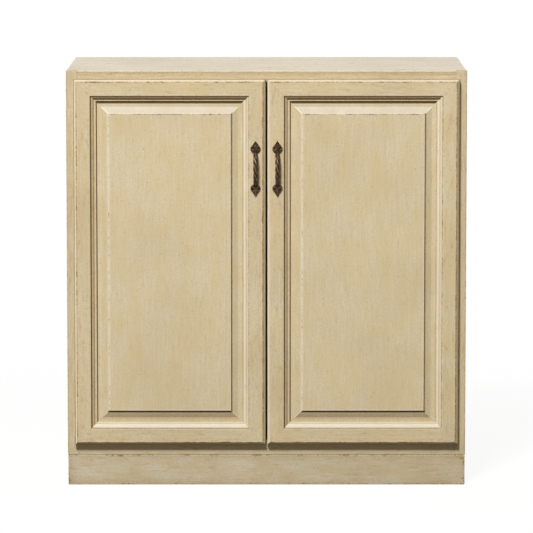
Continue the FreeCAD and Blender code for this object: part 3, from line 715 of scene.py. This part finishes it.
# Where a door's section is made pale, tinted grey, rubbed bare and darkened with glaze, on each side of the
# door:
# place, amount, and reach where it isn't the near one. Pale marks are rubbed wear and also painted highlight
# where a surface faces the light, and the grey tint is painted highlight on the up-facing chamfer, bevel and
# moulding. The glaze is umber in the hollows and also painted shade in them and at the gaps behind the
# chamfers: heavy in the upper and left members, whose mouldings face away from the light, lighter in the
# others, with painted shadow below the field's shoulder on the right and bottom.
SECTION_LINES = {
    "top": {
        # top: painted highlight on the up-facing chamfer and bevel, and painted shade in the moulding, which
        # faces down
        "pale": ((chamfer_middle, 0.5, far_reach), (quirk_top, 0.8), (field_arris, 0.2)),
        "painted_highlight_tint": ((chamfer_middle, 0.5, far_reach), (bevel_middle, 1.1, panel_bevel_width)),
        "bare": ((chamfer_front, 1.08, far_reach), (quirk_top, 0.7), (field_arris, 1.1, far_reach)),
        "glaze": (
            (chamfer_back, 0.8), (chamfer_front, 0.3), (quirk_bottom, 2.2), (ovolo_middle, 0.66, ovolo_width),
            (fillet_start, 1.7), (bead_middle, 0.7), (lip, 2.4, lip_reach),
        ),
    },
    "left": {
        # left: painted shade in the moulding, which faces away from the light
        "pale": (
            (chamfer_middle, 0.2, far_reach), (quirk_top, 0.3), (bead_middle, 0.4),
            (field_arris, 1.0, arris_reach),
        ),
        "painted_highlight_tint": (),
        "bare": ((chamfer_front, 0.98, far_reach), (quirk_top, 0.6), (field_arris, 0.96, far_reach)),
        "glaze": (
            (chamfer_back, 1.1), (chamfer_front, 0.35), (quirk_bottom, 2.4), (ovolo_start, 1.2),
            (ovolo_middle, 0.2, ovolo_width), (fillet_start, 0.7), (lip, 1.7),
        ),
    },
    "right": {
        # right: painted highlight on the moulding, which faces the light, painted shade on the chamfer, and
        # painted shadow below the field's shoulder
        "pale": (
            (chamfer_middle, 0.5), (quirk_top, 0.7), (ovolo_middle, 0.45, ovolo_width), (fillet_end, 1.0),
            (bead_middle, 0.9), (field_arris, 0.9),
        ),
        "painted_highlight_tint": (),
        "bare": (
            (chamfer_front, 1.12, far_reach), (quirk_top, 1.15), (quirk_bottom, 1.18), (field_arris, 0.5),
        ),
        "glaze": (
            (chamfer_front, 0.5), (chamfer_middle, 0.2, edge_chamfer), (chamfer_back, 0.6),
            (quirk_bottom, 0.4), (lip, 0.35), (bevel_top, 0.9, shoulder_reach),
        ),
    },
    "bottom": {
        # bottom: painted highlight on the up-facing moulding, and painted shadow below the field's shoulder
        "pale": (
            (quirk_top, 1.0), (ovolo_middle, 0.45, ovolo_width), (fillet_start, 1.0), (fillet_end, 0.8),
            (field_arris, 1.1, arris_reach),
        ),
        "painted_highlight_tint": ((ovolo_middle, 0.95, ovolo_width), (fillet_end, 0.9), (bead_middle, 1.1)),
        "bare": ((chamfer_front, 1.0, far_reach), (quirk_bottom, 1.1), (field_arris, 0.5)),
        "glaze": (
            (chamfer_back, 0.7), (quirk_bottom, 0.95), (bevel_foot, 0.25, panel_border),
            (bevel_top, 3.2, shoulder_reach),
        ),
    },
}
# The right door's left edge looks at the gap: its chamfer, which faces the light, gets a strong painted
# highlight, less bare wear and no glaze
SECTION_LINES["left_at_gap"] = dict(
    SECTION_LINES["left"],
    pale=((chamfer_middle, 1.2, far_reach), *SECTION_LINES["left"]["pale"][1:]),
    bare=((chamfer_front, 0.8), (quirk_top, 0.6)),
    glaze=SECTION_LINES["left"]["glaze"][2:],
)
# Its right edge, beside the frame, faces away from the light, and its chamfer gets heavier painted shade
SECTION_LINES["right_at_frame"] = dict(
    SECTION_LINES["right"],
    glaze=(
        (chamfer_front, 0.6), (chamfer_middle, 0.6, edge_chamfer), (chamfer_back, 1.0),
        *SECTION_LINES["right"]["glaze"][3:],
    ),
)


def amount_at(point, line, most, reach=near_reach):
    return most * max(0.0, 1 - (point - line).length / reach)


def nearness(point, lines):
    """How strong a mark is at a point of the section."""
    return max((amount_at(point, *line) for line in lines), default=0.0)


def member_shape(length, side):
    """A mitred member. Its own axes are the inset from its outer edge, the depth, and the run along it."""
    groove_front = lip - Vector((groove_depth, 0))
    groove_back = groove_front + Vector((0, groove_width))
    outline = [
        back_outer, chamfer_back + Vector((0, near_reach)), chamfer_back, chamfer_middle, chamfer_front,
        chamfer_front + Vector((near_reach, 0)), chamfer_front + Vector((far_reach, 0)),
        quirk_top - Vector((far_reach, 0)), quirk_top - Vector((near_reach, 0)), quirk_top,
        *bowed(quirk_bottom, ovolo_end, ovolo_bulge, count=8), fillet_start,
        *bowed(fillet_end, lip, bead_bulge, count=6), groove_front, groove_back,
        lip + Vector((0, groove_width)), Vector((member_width, door_thickness)),
    ]
    shape = bmesh.new()
    end = shape.faces.new([shape.verts.new((point.x, point.y, 0)) for point in outline])
    for run in (mitre_line, length - 2 * mitre_line, mitre_line):
        grown = bmesh.ops.extrude_face_region(shape, geom=[end])["geom"]
        if end.calc_center_median().z > 0:
            shape.faces.remove(end)
        end = next(part for part in grown if isinstance(part, bmesh.types.BMFace))
        bmesh.ops.translate(shape, vec=(0, 0, run), verts=end.verts)
    arrises = (chamfer_back, chamfer_front, quirk_top)
    round_edges(shape, [edge for edge in shape.edges if is_run_at(edge, arrises)], arris_ease, segments=3)
    for name, lines in SECTION_LINES[side].items():
        at_mitre = mitre_glaze if name == "glaze" else 0.0
        mark(shape, name, lambda place: max(
            nearness(place.xy, lines),
            at_mitre if min(place.z, length - place.z) < mitre_line / 2 and place.y < lip_depth else 0.0,
        ))
    for vert in shape.verts:
        vert.co.z += vert.co.x if vert.co.z < length / 2 else -vert.co.x
    bmesh.ops.recalc_face_normals(shape, faces=shape.faces)
    return shape


def is_run_at(edge, points):
    """True for an edge along a member at one of these points of its section."""
    first, second = (vert.co for vert in edge.verts)
    if (first.xy - second.xy).length > same_place:
        return False
    return any((first.xy - point).length < same_place for point in points)


def trim_hinge_edge(shape, square):
    """Takes the back corner off the hinge edge. Square points from the door's middle to that edge."""
    corner = Vector((0, door_thickness, 0)) - square * hinge_edge_chamfer
    trim_at(shape, corner, square + Vector((0, 1, 0)))


def hinge_stile_shape(side):
    shape = member_shape(door_height, side)
    trim_hinge_edge(shape, Vector((-1, 0, 0)))
    bores = []
    for height in hinge_heights:
        mouth = Vector((cup_inset, door_thickness, height))
        inside = mouth - Vector((0, cup_bore_depth, 0))
        bores.append(rod_shape(cup_bore_radius, inside, mouth + Vector((0, spare, 0))))
    return cut_away(shape, bores)


def rail_shape(side):
    shape = member_shape(door_width, side)
    trim_hinge_edge(shape, Vector((0, 0, -1)))
    return shape


def placed(shape, origin, inset_way, run_way, mirror):
    """Puts a member's own axes into the cabinet, on the left or mirrored to the right."""
    matrix = Matrix((inset_way, WAYS["back"], run_way)).transposed().to_4x4()
    matrix.translation = origin
    if mirror:
        matrix = Matrix.Scale(-1, 4, (1, 0, 0)) @ matrix
    bmesh.ops.transform(shape, matrix=matrix, verts=shape.verts)
    bmesh.ops.recalc_face_normals(shape, faces=shape.faces)
    return shape


def panel_shape(mirror):
    """A rectangle grown step by step inwards: tongue, border, bevel, shoulder, rounded arris and field."""
    inset = member_width - groove_depth + panel_room
    low = Vector((door_left + inset, 0, door_bottom + inset))
    high = Vector((door_right - inset, 0, door_top - inset))
    front = door_front + panel_face
    back = front + groove_width - 2 * panel_fit
    shape = box_shape(Vector((low.x, front, low.z)), Vector((high.x, back, high.z)))
    face = min(shape.faces, key=lambda part: part.calc_center_median().y)
    slope = panel_bevel_rise / panel_bevel_width
    bevel_run = panel_bevel_width - near_reach - shoulder_reach
    steps = [
        (groove_depth - panel_room, 0),
        (near_reach, 0),
        (lip_reach - near_reach, 0),
        (panel_border - lip_reach, 0),
        (near_reach, near_reach * slope),
        (bevel_run, bevel_run * slope),
        (shoulder_reach, shoulder_reach * slope),
        (shoulder_lean, panel_shoulder - arris_ease),
        *[(arris_ease * inset_share, arris_ease * rise_share) for inset_share, rise_share in ARRIS_STEPS],
        (near_reach, 0),
        (far_reach - near_reach, 0),
    ]
    for thickness, rise in steps:
        bmesh.ops.inset_region(shape, faces=[face], thickness=thickness, depth=rise, use_even_offset=True)
    mitres = [edge for edge in shape.edges if is_bevel_mitre(edge)]
    round_edges(shape, mitres, panel_mitre_ease, segments=1)

    for name in SECTION_LINES["top"]:
        layer = shape.loops.layers.float.new(name)
        for face in shape.faces:
            middle = face.calc_center_median()
            insets = panel_insets(middle, mirror)
            side = min(insets, key=insets.get)
            nearest, following = sorted(insets.values())[:2]
            on_mitre = following - nearest < panel_mitre_ease and is_on_bevel(middle)
            for corner in face.loops:
                place = corner.vert.co
                depth = place.y - door_front
                on_field = depth < field_arris.y + level_slack
                if name == "glaze" and on_field:
                    continue
                point = Vector((panel_insets(place, mirror)[side], depth))
                corner[layer] = nearness(point, SECTION_LINES[side][name])
                if name == "pale" and on_mitre:
                    corner[layer] = panel_mitre_pale
    return shape


def is_on_bevel(place):
    return bevel_top.y + level_slack < place.y - door_front < bevel_foot.y - level_slack


def is_bevel_mitre(edge):
    """True for an edge of the panel where two of its bevels meet."""
    first, second = (vert.co for vert in edge.verts)
    run = second - first
    return min(abs(run.x), abs(run.z)) > same_place and is_on_bevel((first + second) / 2)


def panel_insets(place, mirror):
    """How far a place on the panel lies from each edge of the door, as the sides are lit and worn."""
    outer, inner = place.x - door_left, door_right - place.x
    return {
        "top": door_top - place.z,
        "bottom": place.z - door_bottom,
        "left": inner if mirror else outer,
        "right": outer if mirror else inner,
    }


def add_door(side, mirror):
    body = side + "_door"
    left_bottom = Vector((door_left, door_front, door_bottom))
    right_bottom = Vector((door_right, door_front, door_bottom))
    left_top = Vector((door_left, door_front, door_top))
    left, right, down, up = (WAYS[name] for name in ("left", "right", "down", "up"))
    hinge_side, meeting_side = ("right_at_frame", "left_at_gap") if mirror else ("left", "right")
    members = (
        ("hinge_stile", hinge_stile_shape(hinge_side), left_bottom, right, up, cream_upright),
        ("meeting_stile", member_shape(door_height, meeting_side), right_bottom, left, up, cream_upright),
        ("top_rail", rail_shape("top"), left_top, down, right, cream_level),
        ("bottom_rail", rail_shape("bottom"), left_bottom, up, right, cream_level),
    )
    for name, shape, origin, inset_way, run_way, material in members:
        placed(shape, origin, inset_way, run_way, mirror)
        node = body + "_" + name
        add_piece(node + "_painted", shape, body, [material], node)
    panel = placed(panel_shape(mirror), Vector(), right, up, mirror)
    node = body + "_raised_panel"
    add_piece(node + "_painted", panel, body, [cream_panel], node)


# Pulls, each made about its own middle: X across, Y back into the door, Z up

def leaf_shape():
    """The upper leaf, a spade with a rounded edge, flat on the door."""
    neck = Vector((leaf_neck_half_width, leaf_neck_height))
    widest = Vector((leaf_half_width, leaf_widest_height))
    shoulder = Vector((leaf_shoulder_half_width, leaf_shoulder_height))
    half = bowed(neck, widest, leaf_root_bulge, count=6)
    half += bowed(widest, shoulder, leaf_shoulder_bulge, count=4)[1:]
    tip = Vector((0, leaf_tip_height))
    outline = half + [tip] + [Vector((-point.x, point.y)) for point in reversed(half)]
    shape = bmesh.new()
    face = shape.faces.new([shape.verts.new((point.x, 0, point.y)) for point in outline])
    grown = bmesh.ops.extrude_face_region(shape, geom=[face])["geom"]
    front = next(part for part in grown if isinstance(part, bmesh.types.BMFace))
    bmesh.ops.translate(shape, vec=(0, -leaf_edge_thickness, 0), verts=front.verts)
    bmesh.ops.recalc_face_normals(shape, faces=shape.faces)
    rise = leaf_thickness - leaf_edge_thickness
    for thickness, share in LEAF_EDGE_STEPS:
        bmesh.ops.inset_region(
            shape, faces=[front], thickness=thickness, depth=rise * share, use_even_offset=True
        )
    return shape


def bar_shape():
    """A square bar, twisted, bowed away from the door, and smooth and slimmer at its ends."""
    rise = pull_projection - bar_radius - bar_root_depth
    half_span = bar_span / 2
    bow_radius = (half_span**2 + rise**2) / (2 * rise)
    half_turn = math.asin(half_span / bow_radius)
    middle = Vector((0, bow_radius - rise - bar_root_depth, 0))
    shape = bmesh.new()
    bmesh.ops.create_circle(shape, cap_ends=True, segments=32, radius=bar_radius)
    bmesh.ops.translate(shape, vec=middle - Vector((0, bow_radius, 0)), verts=shape.verts)
    bmesh.ops.rotate(shape, cent=middle, matrix=Matrix.Rotation(-half_turn, 3, "X"), verts=shape.verts)
    bmesh.ops.spin(
        shape, geom=everything(shape), cent=middle, axis=(1, 0, 0), angle=2 * half_turn, steps=96
    )
    collar_turn = collar_length / bow_radius
    for vert in shape.verts:
        out = Vector((0, vert.co.y - middle.y, vert.co.z))
        turn = math.atan2(-out.z, -out.y)
        out.normalize()
        line = middle + out * bow_radius
        offset = vert.co - line
        across = math.atan2(offset.x, offset.dot(out))
        twist = -bar_turns * math.pi * turn / half_turn
        from_end = half_turn - abs(turn)
        lobed = min(1.0, max(0.0, from_end / collar_turn - lobe_start))
        taper = min(1.0, from_end / (taper_end * collar_turn))
        reach = bar_end_radius + (bar_radius - bar_end_radius) * math.sin(taper * math.pi / 2)
        reach *= 1 - lobed * bar_lobe_depth * (0.5 - 0.5 * math.cos(bar_sides * (across + twist)))
        vert.co = line + offset.normalized() * reach
    bmesh.ops.recalc_face_normals(shape, faces=shape.faces)
    trim_at(shape, Vector(), WAYS["back"])
    return shape


def leaf_relief(place):
    """How far the leaf's face stands out or sinks: a spine to the tip, and a dimple in each cheek."""
    height = abs(place.z)
    to_dimple = math.hypot(abs(place.x) - dimple_offset, height - dimple_height)
    sunk = dimple_depth * max(0.0, 1 - (to_dimple / dimple_radius) ** 2)
    spine_share = min(1.0, max(0.0, (height - dimple_height) / (leaf_shoulder_height - dimple_height)))
    spine = spine_height * spine_share * max(0.0, 1 - abs(place.x) / spine_half_width)
    return spine - sunk


def pull_shape():
    """The two leaves and the bar as one casting, softened as sand casting leaves it."""
    lower = leaf_shape()
    bmesh.ops.rotate(lower, cent=(0, 0, 0), matrix=Matrix.Rotation(math.pi, 3, "Y"), verts=lower.verts)
    mesh = bpy.data.meshes.new("casting")
    casting = bmesh.new()
    for shape in (leaf_shape(), lower, bar_shape()):
        shape.to_mesh(mesh)
        shape.free()
        casting.from_mesh(mesh)
    bpy.data.meshes.remove(mesh)
    owner = shape_object("scratch", casting)
    remesh = owner.modifiers.new("cast", "REMESH")
    remesh.mode = "VOXEL"
    remesh.voxel_size = cast_voxel
    shape = evaluated(owner)
    for vert in shape.verts:
        if abs(vert.co.z) > relief_start and vert.co.y < -leaf_edge_thickness / 2:
            vert.co.y -= leaf_relief(vert.co)
    face_verts = [vert for vert in shape.verts if vert.co.y < -flat_back]
    for _ in range(soften_rounds):
        bmesh.ops.smooth_vert(
            shape, verts=face_verts, factor=0.5, use_axis_x=True, use_axis_y=True, use_axis_z=True
        )
    shape.normal_update()

    # What stands out of its surroundings is rubbed to copper, which also paints the highlights on the ridges
    layer = shape.verts.layers.float.new("rub")
    bulges = {}
    for vert in shape.verts:
        around = [edge.other_vert(vert).co for edge in vert.link_edges]
        mean = sum(around, Vector()) / len(around)
        bulges[vert] = (vert.co - mean).dot(vert.normal)
    for _ in range(soften_rounds):
        bulges = {
            vert: sum(bulges[edge.other_vert(vert)] for edge in vert.link_edges) / len(vert.link_edges)
            for vert in shape.verts
        }
    for vert, bulge in bulges.items():
        most = 1.0 if abs(vert.co.z) < bar_span / 2 else leaf_rub
        vert[layer] = min(most, max(-1.0, (bulge - rub_start) / rub_range))
    return shape


def add_pull(side):
    node = side + "_door_pull"
    low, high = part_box(node)
    shape = pull_shape()
    middle = Vector(((low.x + high.x) / 2, high.y, (low.z + high.z) / 2))
    bmesh.ops.translate(shape, vec=middle, verts=shape.verts)
    add_piece(node + "_cast", shape, side + "_door", [bronze], node)


# Nodes that keep their solids take the finish of their slot

def finish_nodes():
    finishes = {
        "cream_paint": cream_upright,
        "plinth_paint": plinth_level,
        "bare_wood": birch_level,
        "bronze": bronze,
        "steel": steel,
        "catch_plastic": catch_plastic,
        "bumper_rubber": pad,
    }
    for part in frame["record"]["subparts"]:
        node = frame["nodes"][part["node"]]
        finish = birch_upright if part["node"] == "back_panel" else finishes[part["material_slot"]]
        for slot in node.material_slots:
            slot.material = finish


# Floor, light and camera

image_size = 533
sensor_width = 36
focal_pixels = 3961
image_shift = -0.05
camera_distance = 9.0
camera_height = 1.5974
camera_tilt = math.radians(6.529)
floor_radius = 60.0
floor_glow = 0.92  # the share of the floor's white by the cabinet that takes no shadow
fade_start = 0.5  # from here on the floor turns plain white
fade_end = 2.2
bounce_colour = "#4a443c"
fill_strength = 0.12
fill_colour = "#ffe8c4"
# Soft boxes: name, way from the doors to the box, distance, width, height, watts and colour.
# The key hangs high at the front left, a weak one low in front lifts the shadows, and two light the sides and
# the back.
SOFT_BOXES = (
    ("key_soft_box", Vector((-0.165, -0.7, 0.705)), 9.0, 1.6, 1.2, 955, "#ffffff"),
    ("front_soft_box", Vector((-0.2, -1, 0.12)), 6.0, 1.6, 2.4, 30, "#fff0d8"),
    ("left_soft_box", Vector((-1, 0.35, 0)), 6.0, 2.0, 0.9, 220, "#fffaf0"),
    ("right_soft_box", Vector((1, 0.35, 0)), 6.0, 2.0, 0.9, 220, "#fffaf0"),
)


def seen_share(tree):
    """1 for rays from the camera, reflections and glass, else 0."""
    path = add_node(tree, "LightPath").node
    share = path.outputs["Is Camera Ray"]
    for ray in ("Is Glossy Ray", "Is Transmission Ray"):
        share = add_node(tree, "Math", {0: share, 1: path.outputs[ray]}, operation="MAXIMUM")
    return share


def add_floor():
    """A white floor: it takes a pale shadow by the cabinet, and is plain white further out."""
    material, tree, shader, place = new_material("matt_white_studio_floor")
    seen = seen_share(tree)
    from_middle = add_node(tree, "VectorMath", {0: place}, "Value", operation="LENGTH")
    white = add_node(tree, "MapRange", {0: from_middle, 1: fade_start, 2: fade_end, 3: floor_glow, 4: 1.0})
    share = add_node(tree, "Math", {0: white, 1: seen}, operation="MULTIPLY")
    colour = layered(tree, linear(bounce_colour), (seen, 0.0, 1.0, 1.0, "#fbfbfb"))
    fill_inputs(tree, shader, {"Base Color": colour, "Roughness": 0.9, "Specular IOR Level": 0.0})
    glow = add_node(tree, "Emission", {"Color": linear("#ffffff"), "Strength": 1.0})
    both = add_node(tree, "MixShader", {0: share, 1: shader.outputs[0], 2: glow})
    fill_inputs(tree, tree.nodes["Material Output"], {"Surface": both})
    shape = bmesh.new()
    bmesh.ops.create_circle(shape, cap_ends=True, segments=96, radius=floor_radius)
    floor = shape_object("studio_floor", shape)
    floor.data.materials.append(material)
    floor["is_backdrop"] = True


def add_world():
    """A white studio: full white where it is seen or mirrored, and a low warm fill on the object."""
    world = bpy.data.worlds.new("white_studio")
    scene.world = world
    world.use_nodes = True
    tree = world.node_tree
    seen = seen_share(tree)
    strength = add_node(tree, "MapRange", {0: seen, 3: fill_strength, 4: 1.0})
    colour = layered(tree, linear(fill_colour), (seen, 0.0, 1.0, 1.0, "#ffffff"))
    fill_inputs(tree, tree.nodes["Background"], {"Color": colour, "Strength": strength})


def add_soft_box(name, way, distance, width, height, power, colour):
    """A soft box that shines on the doors. Way points from the doors to the box."""
    lamp = bpy.data.lights.new(name, "AREA")
    lamp.shape = "RECTANGLE"
    lamp.size = width
    lamp.size_y = height
    lamp.energy = power
    lamp.color = linear(colour)[:3]
    made = add_object(name, lamp)
    made.visible_camera = False
    aim = Vector((0, door_front, (door_bottom + door_top) / 2))
    made.location = aim + way.normalized() * distance
    made.rotation_euler = (-way).to_track_quat("-Z", "Y").to_euler()


def add_camera():
    """A long lens from a little above the top, tilted down."""
    lens = bpy.data.cameras.new("camera")
    lens.sensor_width = sensor_width
    lens.lens = focal_pixels * sensor_width / image_size
    lens.shift_y = image_shift
    made = add_object("camera", lens)
    made.location = (0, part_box("frame_left_stile")[0].y - camera_distance, camera_height)
    made.rotation_euler = (math.radians(90) - camera_tilt, 0, 0)
    scene.camera = made


scene.view_settings.view_transform = "Standard"
finish_nodes()
add_face_frame()
add_top()
add_side("left", 1)
add_side("right", -1)
add_plinth()
plain_board("shelf_board", "shelf", ("front", "up"), birch_level)
add_door("left", False)
add_door("right", True)
add_pull("left")
add_pull("right")
add_floor()
add_world()
for soft_box in SOFT_BOXES:
    add_soft_box(*soft_box)
add_camera()

boxes = {"cad": cad_box, "visual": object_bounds()}
{name: [list(corner) for corner in box] for name, box in boxes.items()}
